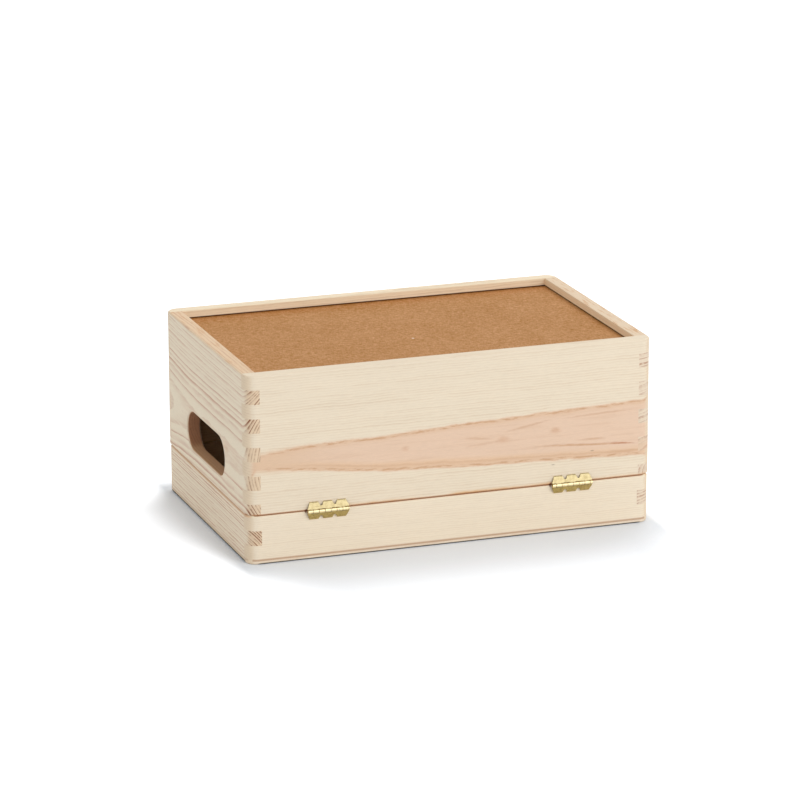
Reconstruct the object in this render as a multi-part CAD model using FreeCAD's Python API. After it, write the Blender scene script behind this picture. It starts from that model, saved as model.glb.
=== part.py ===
"""A pine storage box with a hinged lid, standing upside down on its shut lid.

The box is a comb-jointed carcass with a hardboard bottom held in grooves. The lid is a shallow
comb-jointed frame with a thin board glued on it. Two drive-in hinges join them on one long side.

Units are millimetres. +X runs along the box, +Z is up, and -Y is the hinge side. The origin is the
centre of the lid's outer face, which lies on the surface that the box stands on. The lid is below
the seam, the box is above it, and the box's bottom panel is uppermost.
"""
import FreeCAD, Part
import math
import os

from FreeCAD import Vector

# Overall size
BOX_LENGTH = 300.0          # outside, along X
BOX_WIDTH = 194.0           # outside, along Y
BOX_HEIGHT = 100.0          # from rim to rim
LID_HEIGHT = 35.0           # frame and board together
SEAM_GAP = 0.3              # between the two rims when the lid is shut
LID_STEP = 0.5              # the lid's ends and opening side stand in from the box's

# Boards and their joints
WALL_THICKNESS = 10.0
CORNER_RADIUS = 8.0         # the upright corners, rounded after the joints are glued
RIM_ROUNDING = 1.4          # outer edges of the box at the seam
LID_ROUNDING = 1.6          # outer edges of the lid's board
LID_RIM_BEVEL = 1.0         # outer edges of the lid at the seam
BASE_BEVEL = 0.8            # outer edges round the box's bottom
INNER_BEVEL = 0.4           # inner edges of every rim
FINGER_PITCH = 10.22        # height of one comb finger in the box
LID_FINGER_PITCH = 10.66    # height of one comb finger in the lid

# Bottom panel
PANEL_THICKNESS = 3.0
PANEL_RECESS = 6.0          # how far the panel lies inside the rim
GROOVE_DEPTH = 4.0
GROOVE_PLAY = 0.5           # the groove is this much wider than the panel
PANEL_END_PLAY = 0.3        # between the panel's edge and the floor of its groove

# Lid board
LID_BOARD_THICKNESS = 3.0

# Handle slots, one in each end wall
SLOT_LENGTH = 90.0
SLOT_HEIGHT = 28.4
SLOT_FROM_RIM = 11.7        # wood between the slot and the box's rim at the seam
SLOT_BEVEL = 1.0            # round the slot on both faces of the wall

# Hinges
HINGE_LENGTH = 30.0
HINGE_FROM_END = 44.5       # from an end of the wall to the nearer end of a hinge
HINGE_SHIFT = -1.3          # the pair sits this far off the middle of the wall
AXIS_STANDOFF = 2.4         # from the wall's face out to the pin's axis
PIN_RADIUS = 0.8
PIN_CLEARANCE = 0.05        # in the knuckles that turn on the pin
PIN_SHORTFALL = 0.3         # the pin ends this far inside the knuckles at each end
SHEET = 0.6                 # thickness of the hinge's sheet brass
LEAF_OFFSET = 0.7           # from the axis out to the plane of a leaf's outer face
LEAF_REACH = 6.3            # from the axis to the far edge of a leaf
BEND_RADIUS = 0.5           # inside of the bend from leaf to tongue
TONGUE_LENGTH = 6.0         # how deep a tongue is driven into the wood
TONGUE_TIP = 0.8            # width of a tongue's tip
LOBE_COUNT = 3              # lobes, and tongues, on each leaf
NOTCH_DEPTH = 2.6
NOTCH_MOUTH = 3.9           # width of a notch at the leaf's edge
NOTCH_FLOOR = 1.5           # width of a notch at its bottom
NOTCH_ROUNDING = 0.5
LEAF_END_TAPER = 1.9        # how much each end of a leaf draws in towards its edge
LEAF_SHOULDER = 2.2         # height above the axis at which the taper starts
KNUCKLE_COUNT = 7           # the lid's leaf has the outermost ones
KNUCKLE_PITCH = 4.9         # the outermost two are what is left of the length
KNUCKLE_GAP = 0.12          # between knuckles, along the pin
KNUCKLE_RELIEF = 0.2        # between a knuckle and the other leaf

OVERSHOOT = 1.0             # how far a cutting tool runs past what it cuts

# Levels and places that follow from the sizes above
BOX_RIM_Z = LID_HEIGHT + SEAM_GAP
TOP_Z = BOX_RIM_Z + BOX_HEIGHT
AXIS_Z = LID_HEIGHT + SEAM_GAP / 2
AXIS_Y = -BOX_WIDTH / 2 - AXIS_STANDOFF
PANEL_TOP_Z = TOP_Z - PANEL_RECESS
PANEL_UNDER_Z = PANEL_TOP_Z - PANEL_THICKNESS
SLOT_MIDDLE_Z = BOX_RIM_Z + SLOT_FROM_RIM + SLOT_HEIGHT / 2
KNUCKLE_RADIUS = PIN_RADIUS + SHEET


class Frame:
    """The plan of one ring of four walls: where its outer and inner faces lie."""

    def __init__(self, end_step, opening_step):
        self.left = -BOX_LENGTH / 2 + end_step
        self.right = BOX_LENGTH / 2 - end_step
        self.hinge_side = -BOX_WIDTH / 2
        self.opening_side = BOX_WIDTH / 2 - opening_step

    def grown(self, amount):
        """Low and high X, then low and high Y, of the plan pushed out by an amount."""
        return (self.left - amount, self.right + amount,
                self.hinge_side - amount, self.opening_side + amount)


BOX_PLAN = Frame(0, 0)
LID_PLAN = Frame(LID_STEP, LID_STEP)


def block(x_span, y_span, z_span):
    """A box between three pairs of coordinates."""
    size = [high - low for low, high in (x_span, y_span, z_span)]
    return Part.makeBox(*size, Vector(x_span[0], y_span[0], z_span[0]))


def rounded_outline(corners):
    """A closed wire through points, each given with the radius that rounds it."""
    starts = []
    ends = []
    middles = []
    for index, (point, radius) in enumerate(corners):
        before = (corners[index - 1][0] - point).normalize()
        after = (corners[(index + 1) % len(corners)][0] - point).normalize()
        if radius == 0:
            starts.append(point)
            middles.append(None)
            ends.append(point)
            continue
        half_angle = before.getAngle(after) / 2
        setback = radius / math.tan(half_angle)
        towards_centre = (before + after).normalize()
        starts.append(point + before * setback)
        ends.append(point + after * setback)
        middles.append(point + towards_centre * (radius / math.sin(half_angle) - radius))
    edges = []
    for index, middle in enumerate(middles):
        if middle is not None:
            edges.append(Part.Arc(starts[index], middle, ends[index]).toShape())
        following = starts[(index + 1) % len(starts)]
        if ends[index].distanceToPoint(following) > 1e-6:
            edges.append(Part.LineSegment(ends[index], following).toShape())
    return Part.Wire(edges)


def prism(corners, direction):
    """A solid swept from a rounded outline along a vector."""
    return Part.Face(rounded_outline(corners)).extrude(direction)


def edges_at_level(solid, level):
    """The edges that lie wholly in one horizontal plane."""
    box_of = [(edge, edge.BoundBox) for edge in solid.Edges]
    return [edge for edge, box in box_of
            if abs(box.ZMin - level) < 1e-4 and abs(box.ZMax - level) < 1e-4]


def envelope(plan, z_span):
    """The outside of a ring of walls, with its upright corners rounded."""
    low_x, high_x, low_y, high_y = plan.grown(0)
    low_z, high_z = z_span
    plan_corners = [(low_x, low_y), (high_x, low_y), (high_x, high_y), (low_x, high_y)]
    corners = [(Vector(x, y, low_z), CORNER_RADIUS) for x, y in plan_corners]
    return prism(corners, Vector(0, 0, high_z - low_z))


def box_envelope():
    """The outside of the box: rounded at the seam, lightly bevelled round the bottom."""
    solid = envelope(BOX_PLAN, (BOX_RIM_Z, TOP_Z))
    solid = solid.makeFillet(RIM_ROUNDING, edges_at_level(solid, BOX_RIM_Z))
    return solid.makeChamfer(BASE_BEVEL, edges_at_level(solid, TOP_Z))


def lid_envelope():
    """The outside of the lid: rounded at its outer face, bevelled at the seam."""
    solid = envelope(LID_PLAN, (0, LID_HEIGHT))
    solid = solid.makeFillet(LID_ROUNDING, edges_at_level(solid, 0))
    return solid.makeChamfer(LID_RIM_BEVEL, edges_at_level(solid, LID_HEIGHT))


def frustum(low_corners, high_corners):
    """A solid with flat sides between two four-cornered loops that run the same way round."""
    faces = [Part.Face(Part.makePolygon(loop + loop[:1])) for loop in (low_corners, high_corners)]
    for index in range(4):
        following = (index + 1) % 4
        side = [low_corners[index], low_corners[following],
                high_corners[following], high_corners[index]]
        faces.append(Part.Face(Part.makePolygon(side + side[:1])))
    return Part.Solid(Part.Shell(faces))


def flare(plan, level, outward):
    """A shallow frustum that bevels the inner edges of a rim at a level."""
    loops = []
    for height, growth in ((-INNER_BEVEL, 0), (OVERSHOOT, INNER_BEVEL + OVERSHOOT)):
        low_x, high_x, low_y, high_y = plan.grown(growth - WALL_THICKNESS)
        z = level + outward * height
        loops.append([Vector(low_x, low_y, z), Vector(high_x, low_y, z),
                      Vector(high_x, high_y, z), Vector(low_x, high_y, z)])
    return frustum(*loops)


def comb_zones(panel_side_z, rim_z, pitch):
    """Heights of the comb's fingers, counted from the panel side; the last one ends at the rim."""
    height = abs(rim_z - panel_side_z)
    toward_rim = math.copysign(1, rim_z - panel_side_z)
    count = max(2, round(height / pitch))
    levels = [panel_side_z + toward_rim * pitch * index for index in range(count)]
    levels.append(rim_z)
    return [tuple(sorted(pair)) for pair in zip(levels, levels[1:])]


def comb_walls(plan, outside, zones):
    """Four interlocking walls: hinge side, opening side, left end, right end.

    Counted from the panel side, the first, third, fifth finger and so on belong to the long
    walls, and the others to the end walls.
    """
    low_z = min(zone[0] for zone in zones)
    high_z = max(zone[1] for zone in zones)
    spans = {
        "hinge": ((plan.left, plan.right), (plan.hinge_side, plan.hinge_side + WALL_THICKNESS)),
        "opening": ((plan.left, plan.right),
                    (plan.opening_side - WALL_THICKNESS, plan.opening_side)),
        "left": ((plan.left, plan.left + WALL_THICKNESS), (plan.hinge_side, plan.opening_side)),
        "right": ((plan.right - WALL_THICKNESS, plan.right),
                  (plan.hinge_side, plan.opening_side)),
    }
    blanks = {name: block(x_span, y_span, (low_z, high_z))
              for name, (x_span, y_span) in spans.items()}
    walls = {}
    for name, blank in blanks.items():
        crossing = ("left", "right") if name in ("hinge", "opening") else ("hinge", "opening")
        first_foreign_zone = 1 if name in ("hinge", "opening") else 0
        sockets = []
        for other in crossing:
            corner_post = blank.common(blanks[other])
            for low, high in zones[first_foreign_zone::2]:
                slab = block(plan.grown(OVERSHOOT)[:2], plan.grown(OVERSHOOT)[2:], (low, high))
                sockets.append(corner_post.common(slab))
        walls[name] = blank.cut(sockets).common(outside).removeSplitter()
    return walls


def panel_groove():
    """The space cut out of the box's walls for the edge of the bottom panel."""
    low_x, high_x, low_y, high_y = BOX_PLAN.grown(GROOVE_DEPTH - WALL_THICKNESS)
    return block((low_x, high_x), (low_y, high_y), (PANEL_UNDER_Z, PANEL_TOP_Z + GROOVE_PLAY))


def bottom_panel():
    """The hardboard bottom, which fills its grooves but for a little play."""
    low_x, high_x, low_y, high_y = BOX_PLAN.grown(GROOVE_DEPTH - PANEL_END_PLAY - WALL_THICKNESS)
    return block((low_x, high_x), (low_y, high_y), (PANEL_UNDER_Z, PANEL_TOP_Z))


def slot_edges(wall, face_x):
    """The edges of the handle slot that lie in one face of an end wall."""
    found = []
    for edge in wall.Edges:
        box = edge.BoundBox
        in_face = abs(box.XMin - face_x) < 1e-4 and abs(box.XMax - face_x) < 1e-4
        within_slot = (abs(box.Center.y) <= SLOT_LENGTH / 2 + 1e-4
                       and abs(box.Center.z - SLOT_MIDDLE_Z) <= SLOT_HEIGHT / 2 + 1e-4)
        if in_face and within_slot:
            found.append(edge)
    return found


def with_handle_slot(wall, outer_x, inner_x):
    """An end wall with a long round-ended slot cut through it and eased on both faces."""
    start_x = min(outer_x, inner_x) - OVERSHOOT
    end_radius = SLOT_HEIGHT / 2
    corners = [(Vector(start_x, y * SLOT_LENGTH / 2, SLOT_MIDDLE_Z + z * end_radius), end_radius)
               for y, z in ((-1, -1), (1, -1), (1, 1), (-1, 1))]
    slotted = wall.cut(prism(corners, Vector(WALL_THICKNESS + 2 * OVERSHOOT, 0, 0)))
    return slotted.makeChamfer(
        SLOT_BEVEL, slot_edges(slotted, outer_x) + slot_edges(slotted, inner_x))


def box_walls():
    """The four walls of the box, without the cuts for the hinges."""
    zones = comb_zones(TOP_Z, BOX_RIM_Z, FINGER_PITCH)
    walls = comb_walls(BOX_PLAN, box_envelope(), zones)
    tools = [panel_groove(), flare(BOX_PLAN, BOX_RIM_Z, -1), flare(BOX_PLAN, TOP_Z, 1)]
    walls = {name: wall.cut(tools) for name, wall in walls.items()}
    walls["left"] = with_handle_slot(
        walls["left"], BOX_PLAN.left, BOX_PLAN.left + WALL_THICKNESS)
    walls["right"] = with_handle_slot(
        walls["right"], BOX_PLAN.right, BOX_PLAN.right - WALL_THICKNESS)
    return walls


def lid_pieces():
    """The lid's four rails, and the board that covers them."""
    outside = lid_envelope()
    zones = comb_zones(LID_BOARD_THICKNESS, LID_HEIGHT, LID_FINGER_PITCH)
    rails = comb_walls(LID_PLAN, outside, zones)
    bevel = flare(LID_PLAN, LID_HEIGHT, 1)
    rails = {name: rail.cut(bevel) for name, rail in rails.items()}
    low_x, high_x, low_y, high_y = LID_PLAN.grown(OVERSHOOT)
    slab = block((low_x, high_x), (low_y, high_y), (-OVERSHOOT, LID_BOARD_THICKNESS))
    return rails, outside.common(slab)


def leaf_slope():
    """Angle between a leaf and the wall, so that the leaf meets the wood where it bends."""
    bend_height = LEAF_REACH - SHEET - BEND_RADIUS
    to_bend = math.atan2(AXIS_STANDOFF, bend_height)
    offset = LEAF_OFFSET - BEND_RADIUS - SHEET
    return to_bend + math.asin(offset / math.hypot(bend_height, AXIS_STANDOFF))


def leaf_section():
    """Section of a leaf across the pin, from beside the axis out to the tip of a tongue.

    It is drawn for the box's leaf: Y grows into the wood and Z away from the seam, with the pin's
    axis at Y = Z = 0.
    """
    slope = leaf_slope()
    along = Vector(0, math.sin(slope), math.cos(slope))
    outward = Vector(0, -math.cos(slope), math.sin(slope))
    bend_centre = Vector(0, AXIS_STANDOFF, LEAF_REACH - SHEET - BEND_RADIUS)
    middle_direction = (outward + Vector(0, 0, 1)).normalize()
    tongue_end = AXIS_STANDOFF + TONGUE_LENGTH
    outer_bend = BEND_RADIUS + SHEET
    outer = [outward * LEAF_OFFSET, bend_centre + outward * outer_bend,
             bend_centre + middle_direction * outer_bend, Vector(0, AXIS_STANDOFF, LEAF_REACH)]
    inner = [outward * (LEAF_OFFSET - SHEET), bend_centre + outward * BEND_RADIUS,
             bend_centre + middle_direction * BEND_RADIUS,
             Vector(0, AXIS_STANDOFF, LEAF_REACH - SHEET)]
    tip = [Vector(0, tongue_end, LEAF_REACH), Vector(0, tongue_end, LEAF_REACH - SHEET)]
    edges = [
        Part.LineSegment(outer[0], outer[1]).toShape(),
        Part.Arc(outer[1], outer[2], outer[3]).toShape(),
        Part.LineSegment(outer[3], tip[0]).toShape(),
        Part.LineSegment(tip[0], tip[1]).toShape(),
        Part.LineSegment(tip[1], inner[3]).toShape(),
        Part.Arc(inner[3], inner[2], inner[1]).toShape(),
        Part.LineSegment(inner[1], inner[0]).toShape(),
        Part.LineSegment(inner[0], outer[0]).toShape(),
    ]
    return Part.Face(Part.Wire(edges))


def lobe_middles():
    """Places of the lobes along the leaf."""
    pitch = HINGE_LENGTH / LOBE_COUNT
    return [pitch * (index - (LOBE_COUNT - 1) / 2) for index in range(LOBE_COUNT)]


def leaf_outline():
    """Front view of a leaf, as a thick plate: straight along the pin, lobed at its far edge."""
    half = HINGE_LENGTH / 2
    notch_z = LEAF_REACH - NOTCH_DEPTH
    flare_per_mm = (NOTCH_MOUTH - NOTCH_FLOOR) / 2 / NOTCH_DEPTH
    top_z = LEAF_REACH + OVERSHOOT
    mouth = NOTCH_MOUTH / 2 + flare_per_mm * OVERSHOOT
    taper_per_mm = LEAF_END_TAPER / (LEAF_REACH - LEAF_SHOULDER)
    top_end = half - LEAF_END_TAPER - taper_per_mm * OVERSHOOT
    front_y = -KNUCKLE_RADIUS - OVERSHOOT
    corners = [((-half, 0), 0), ((-half, LEAF_SHOULDER), 0), ((-top_end, top_z), 0)]
    for left, right in zip(lobe_middles(), lobe_middles()[1:]):
        middle = (left + right) / 2
        corners += [((middle - mouth, top_z), 0),
                    ((middle - NOTCH_FLOOR / 2, notch_z), NOTCH_ROUNDING),
                    ((middle + NOTCH_FLOOR / 2, notch_z), NOTCH_ROUNDING),
                    ((middle + mouth, top_z), 0)]
    corners += [((top_end, top_z), 0), ((half, LEAF_SHOULDER), 0), ((half, 0), 0)]
    placed = [(Vector(x, front_y, z), radius) for (x, z), radius in corners]
    depth = AXIS_STANDOFF + TONGUE_LENGTH - front_y + OVERSHOOT
    return prism(placed, Vector(0, depth, 0))


def tongue_plan():
    """Plan view of a leaf: full width outside the wood, three tapering tongues inside it."""
    half = HINGE_LENGTH / 2
    height = LEAF_REACH + 2 * OVERSHOOT
    front_y = -KNUCKLE_RADIUS - OVERSHOOT
    plan = block((-half, half), (front_y, AXIS_STANDOFF), (-OVERSHOOT, height - OVERSHOOT))
    root = (HINGE_LENGTH / LOBE_COUNT - NOTCH_MOUTH) / 2
    for middle in lobe_middles():
        corners = [((middle - root, AXIS_STANDOFF), 0), ((middle + root, AXIS_STANDOFF), 0),
                   ((middle + TONGUE_TIP / 2, AXIS_STANDOFF + TONGUE_LENGTH), 0),
                   ((middle - TONGUE_TIP / 2, AXIS_STANDOFF + TONGUE_LENGTH), 0)]
        placed = [(Vector(x, y, -OVERSHOOT), radius) for (x, y), radius in corners]
        plan = plan.fuse(prism(placed, Vector(0, 0, height)))
    return plan


def knuckle_spans():
    """Low and high X of each knuckle's share of the pin, from left to right."""
    half = HINGE_LENGTH / 2
    inner_count = KNUCKLE_COUNT - 2
    inner_half = KNUCKLE_PITCH * inner_count / 2
    levels = [-half]
    levels += [-inner_half + KNUCKLE_PITCH * index for index in range(inner_count + 1)]
    levels.append(half)
    return list(zip(levels, levels[1:]))


def rod(radius, x_span):
    """A round bar along the pin's axis."""
    return Part.makeCylinder(radius, x_span[1] - x_span[0], Vector(x_span[0], 0, 0),
                             Vector(1, 0, 0))


def leaf(own_first, bore_radius):
    """One hinge leaf about its own axis, with every second knuckle starting at own_first."""
    half = HINGE_LENGTH / 2
    face = leaf_section()
    face.translate(Vector(-half, 0, 0))
    plate = face.extrude(Vector(HINGE_LENGTH, 0, 0))
    plate = plate.common(leaf_outline()).common(tongue_plan())
    spans = knuckle_spans()
    knuckles = []
    reliefs = []
    for index, (low, high) in enumerate(spans):
        own = index % 2 == own_first
        low_gap = 0 if index == 0 else KNUCKLE_GAP / 2
        high_gap = 0 if index == len(spans) - 1 else KNUCKLE_GAP / 2
        if own:
            knuckles.append(rod(KNUCKLE_RADIUS, (low + low_gap, high - high_gap)))
        else:
            reliefs.append(rod(KNUCKLE_RADIUS + KNUCKLE_RELIEF, (low - low_gap, high + high_gap)))
    return plate.cut(reliefs).fuse(knuckles).cut(rod(bore_radius, (-half, half))).removeSplitter()


def hinge_pieces(middle_x):
    """The lid leaf, box leaf and pin of one hinge, in place."""
    to_place = Vector(middle_x, AXIS_Y, AXIS_Z)
    box_leaf = leaf(1, PIN_RADIUS + PIN_CLEARANCE)
    lid_leaf = leaf(0, PIN_RADIUS).mirror(Vector(0, 0, 0), Vector(0, 0, 1))
    pin_half = HINGE_LENGTH / 2 - PIN_SHORTFALL
    pin = rod(PIN_RADIUS, (-pin_half, pin_half))
    for piece in (lid_leaf, box_leaf, pin):
        piece.translate(to_place)
    return lid_leaf, box_leaf, pin


def build():
    """Every piece of the object by its name."""
    walls = box_walls()
    rails, lid_board = lid_pieces()
    pieces = {}
    half_spacing = (BOX_LENGTH - HINGE_LENGTH) / 2 - HINGE_FROM_END
    for side, place in (("left", -half_spacing), ("right", half_spacing)):
        middle_x = HINGE_SHIFT + place
        lid_leaf, box_leaf, pin = hinge_pieces(middle_x)
        walls["hinge"] = walls["hinge"].cut(box_leaf)
        rails["hinge"] = rails["hinge"].cut(lid_leaf)
        pieces[f"hinge_{side}_lid_leaf"] = lid_leaf
        pieces[f"hinge_{side}_box_leaf"] = box_leaf
        pieces[f"hinge_{side}_pin"] = pin
    pieces["box_hinge_wall"] = walls["hinge"]
    pieces["box_front_wall"] = walls["opening"]
    pieces["box_left_wall"] = walls["left"]
    pieces["box_right_wall"] = walls["right"]
    pieces["bottom_panel"] = bottom_panel()
    pieces["lid_hinge_rail"] = rails["hinge"]
    pieces["lid_front_rail"] = rails["opening"]
    pieces["lid_left_rail"] = rails["left"]
    pieces["lid_right_rail"] = rails["right"]
    pieces["lid_panel"] = lid_board
    return pieces


def single_solid(shape):
    """The one solid in a shape, which booleans can leave wrapped in a compound."""
    solids = shape.Solids
    if len(solids) != 1:
        raise ValueError(f"expected one solid and found {len(solids)}")
    return solids[0]


def main():
    os.makedirs("parts", exist_ok=True)
    for name, shape in build().items():
        single_solid(shape).exportStep(f"parts/{name}.step")


main()
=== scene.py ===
"""The looks of the pine box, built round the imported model: timber, hardboard, brass, light, camera.

Blender works in metres. Places and sizes on the object are written in millimetres, as in the CAD
source, and MM turns them into metres. Every shade is written as an sRGB colour from 0 to 255.

A fade is a pair of numbers for Tree.steps: where a share is 0, and where it has grown to 1. A
window is a pair of fades for Tree.window: where a share grows, and where it falls again.
"""
import math
from dataclasses import dataclass, field

import bpy
from mathutils import Matrix, Vector

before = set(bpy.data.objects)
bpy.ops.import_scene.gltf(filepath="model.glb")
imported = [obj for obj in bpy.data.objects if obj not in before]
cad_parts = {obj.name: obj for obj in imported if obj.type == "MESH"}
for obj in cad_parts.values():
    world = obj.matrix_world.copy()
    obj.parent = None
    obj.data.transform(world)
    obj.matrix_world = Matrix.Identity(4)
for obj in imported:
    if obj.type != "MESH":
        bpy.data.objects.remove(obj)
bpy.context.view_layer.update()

MM = 0.001

# Camera, fitted to the straight edges of the box
FRAME_PIXELS = 800
FOCAL_PIXELS = 4328.3
CAMERA_AZIMUTH = math.radians(-19.29)
CAMERA_ELEVATION = math.radians(16.0)
CAMERA_ROLL = math.radians(-0.16)
CAMERA_DISTANCE = 3103.5 * MM
AIM_POINT = Vector((0, 0, 67.6)) * MM
AIM_OFFSET = (4.24 * MM, -10.45 * MM)       # of the aim point in the picture, to the right and up
SENSOR_WIDTH = 36.0
CLIP_NEAR = 0.1
CLIP_FAR = 50.0

# Places on the box that its paint keeps to, in millimetres
LID_BOARD = 3.0
LID_TOP = 35.0
SEAM_TOP = 35.3
PANEL_UNDER = 126.3
BOX_TOP = 135.3
BOX_HALF = (150.0, 97.0)                    # of the box's plan
CORNER_RADIUS = 8.0
WALL = 10.0
SLOT_LENGTH = 90.0
SLOT_HEIGHT = 28.4
SLOT_MIDDLE = 61.2
HINGE_ENDS = (-107.4, 73.6)                 # left ends of the two hinges
PIN_AXIS = (-99.4, 35.15)                   # in Y and Z
KNUCKLE_LENGTH = 30.0 / 7


def linear(srgb):
    """A scene-linear RGBA colour from sRGB numbers between 0 and 255."""
    channels = []
    for value in srgb:
        share = value / 255
        low = share / 12.92
        high = ((share + 0.055) / 1.055) ** 2.4
        channels.append(low if share <= 0.04045 else high)
    return (*channels, 1.0)


def make_camera():
    """The camera at the picture's viewing angle."""
    back = Vector((math.sin(CAMERA_AZIMUTH) * math.cos(CAMERA_ELEVATION),
                   -math.cos(CAMERA_AZIMUTH) * math.cos(CAMERA_ELEVATION),
                   math.sin(CAMERA_ELEVATION)))
    level = (-back).cross(Vector((0, 0, 1))).normalized()
    upright = level.cross(-back)
    right = level * math.cos(CAMERA_ROLL) + upright * math.sin(CAMERA_ROLL)
    up = upright * math.cos(CAMERA_ROLL) - level * math.sin(CAMERA_ROLL)
    place = AIM_POINT + back * CAMERA_DISTANCE - right * AIM_OFFSET[0] - up * AIM_OFFSET[1]
    data = bpy.data.cameras.new("camera")
    data.sensor_width = SENSOR_WIDTH
    data.lens = SENSOR_WIDTH * FOCAL_PIXELS / FRAME_PIXELS
    data.clip_start = CLIP_NEAR
    data.clip_end = CLIP_FAR
    camera = bpy.data.objects.new("camera", data)
    bpy.context.scene.collection.objects.link(camera)
    axes = Matrix((right, up, back)).transposed().to_4x4()
    camera.matrix_world = Matrix.Translation(place) @ axes
    bpy.context.scene.camera = camera


# ---------------------------------------------------------------------------------------------
# Node helpers


# Sockets of a Mix node for colours, some of which share their names with other sockets
MIX_SHARE = 0
MIX_COLOURS = (6, 7)
MIX_RESULT = 2


class Tree:
    """A short way to write shader nodes: each method adds nodes and returns their output."""

    def __init__(self, tree):
        self.tree = tree

    def node(self, kind, settings=None, inputs=None):
        """A new node itself, with its settings and its inputs by name."""
        made = self.tree.nodes.new(kind)
        for name, value in (settings or {}).items():
            setattr(made, name, value)
        for name, value in (inputs or {}).items():
            self.feed(made.inputs[name], value)
        return made

    def feed(self, socket, value):
        """Links an output to a socket, or sets the socket to a plain value."""
        if isinstance(value, bpy.types.NodeSocket):
            self.tree.links.new(value, socket)
        else:
            socket.default_value = value

    def math(self, operation, *values):
        made = self.node("ShaderNodeMath", {"operation": operation})
        for index, value in enumerate(values):
            self.feed(made.inputs[index], value)
        return made.outputs[0]

    def chain(self, operation, values):
        """All the values taken together, from the first to the last."""
        total = values[0]
        for value in values[1:]:
            total = self.math(operation, total, value)
        return total

    def add(self, *values):
        return self.chain("ADD", values)

    def multiply(self, *values):
        return self.chain("MULTIPLY", values)

    def least(self, *values):
        return self.chain("MINIMUM", values)

    def greatest(self, *values):
        return self.chain("MAXIMUM", values)

    def subtract(self, a, b):
        return self.math("SUBTRACT", a, b)

    def absolute(self, value):
        return self.math("ABSOLUTE", value)

    def length(self, a, b):
        return self.math("SQRT", self.add(self.multiply(a, a), self.multiply(b, b)))

    def line(self, start, slope, place):
        """The height at a place of a straight line that is at start where the place is 0."""
        return self.add(start, self.multiply(place, slope))

    def steps(self, value, low, high):
        """0 below low, 1 above high, and smooth between them. It falls where low is above high."""
        flipped = low > high
        made = self.node("ShaderNodeMapRange", {"interpolation_type": "SMOOTHSTEP"}, {
            "Value": value, "From Min": min(low, high), "From Max": max(low, high),
            "To Min": 1.0 if flipped else 0.0, "To Max": 0.0 if flipped else 1.0})
        return made.outputs["Result"]

    def window(self, value, growing, falling):
        """1 between two fades."""
        return self.multiply(self.steps(value, *growing), self.steps(value, *falling))

    def hump(self, value, middle, half_width):
        """1 at the middle, and 0 from half a width away."""
        return self.steps(self.absolute(self.subtract(value, middle)), half_width, 0.0)

    def spread(self, value, low, high):
        """A value from 0 to 1 spread evenly between two others."""
        return self.add(self.multiply(value, high - low), low)

    def swing(self, value, width):
        """A value from 0 to 1 turned into one that swings evenly about 0."""
        return self.multiply(self.subtract(value, 0.5), width)

    def vector(self, x, y, z=0.0):
        return self.node("ShaderNodeCombineXYZ", None, {"X": x, "Y": y, "Z": z}).outputs[0]

    def stretched(self, places, fineness):
        """A vector of places, each multiplied by its own fineness."""
        return self.vector(*[self.multiply(*pair) for pair in zip(places, fineness)])

    def separate(self, vector):
        return list(self.node("ShaderNodeSeparateXYZ", None, {"Vector": vector}).outputs)

    def scaled(self, vector, factor):
        """A vector or a colour times a number."""
        made = self.node("ShaderNodeVectorMath", {"operation": "SCALE"}, {"Scale": factor})
        self.feed(made.inputs[0], vector)
        return made.outputs[0]

    def noise(self, detail, roughness, vector=None, w=None, scale=1.0):
        """Noise along a line where only w is given, in space for a vector, and in 4D for both."""
        dimensions = "1D" if vector is None else "3D" if w is None else "4D"
        inputs = {"Scale": scale, "Detail": detail, "Roughness": roughness}
        if vector is not None:
            inputs["Vector"] = vector
        if w is not None:
            inputs["W"] = w
        made = self.node("ShaderNodeTexNoise", {"noise_dimensions": dimensions}, inputs)
        return made.outputs["Fac"]

    def mix(self, share, a, b, blend="MIX"):
        """Two colours mixed by a share."""
        made = self.node("ShaderNodeMix", {"data_type": "RGBA", "blend_type": blend})
        for index, value in zip((MIX_SHARE, *MIX_COLOURS), (share, a, b)):
            self.feed(made.inputs[index], value)
        return made.outputs[MIX_RESULT]

    def tint(self, share, colour, srgb):
        """A colour multiplied by an sRGB one, by a share."""
        return self.mix(share, colour, linear(srgb), "MULTIPLY")

    def paint(self, share, colour, srgb):
        """A colour painted over with an sRGB one, by a share."""
        return self.mix(share, colour, linear(srgb))

    def ramp(self, value, stops):
        """A value read off a curve given as (place, height) pairs."""
        made = self.node("ShaderNodeValToRGB", None, {"Fac": value})
        elements = made.color_ramp.elements
        while len(elements) < len(stops):
            elements.new(1.0)
        for element, (place, height) in zip(elements, stops):
            element.position = place
            element.color = (height, height, height, 1.0)
        return made.outputs["Color"]


@dataclass
class Finish:
    """How a surface takes the light."""
    roughness: tuple                        # least and most
    relief: float                           # strength of its bumps
    relief_depth: float                     # in millimetres
    specular: float = 0.5
    metallic: float = 0.0


def new_material(name):
    """An empty node material, its tree helper, and its Principled shader."""
    material = bpy.data.materials.new(name)
    material.use_nodes = True
    shader = material.node_tree.nodes["Principled BSDF"]
    return material, Tree(material.node_tree), shader


def apply_finish(tree, shader, finish, colour, roughness, height):
    """Feeds a Principled shader. The roughness is a share of the finish's own range."""
    tree.feed(shader.inputs["Base Color"], colour)
    tree.feed(shader.inputs["Roughness"], tree.spread(roughness, *finish.roughness))
    bump = tree.node("ShaderNodeBump", None, {
        "Strength": finish.relief, "Distance": finish.relief_depth * MM, "Height": height})
    tree.feed(shader.inputs["Normal"], bump.outputs["Normal"])
    shader.inputs["Specular IOR Level"].default_value = finish.specular
    shader.inputs["Metallic"].default_value = finish.metallic


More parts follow.
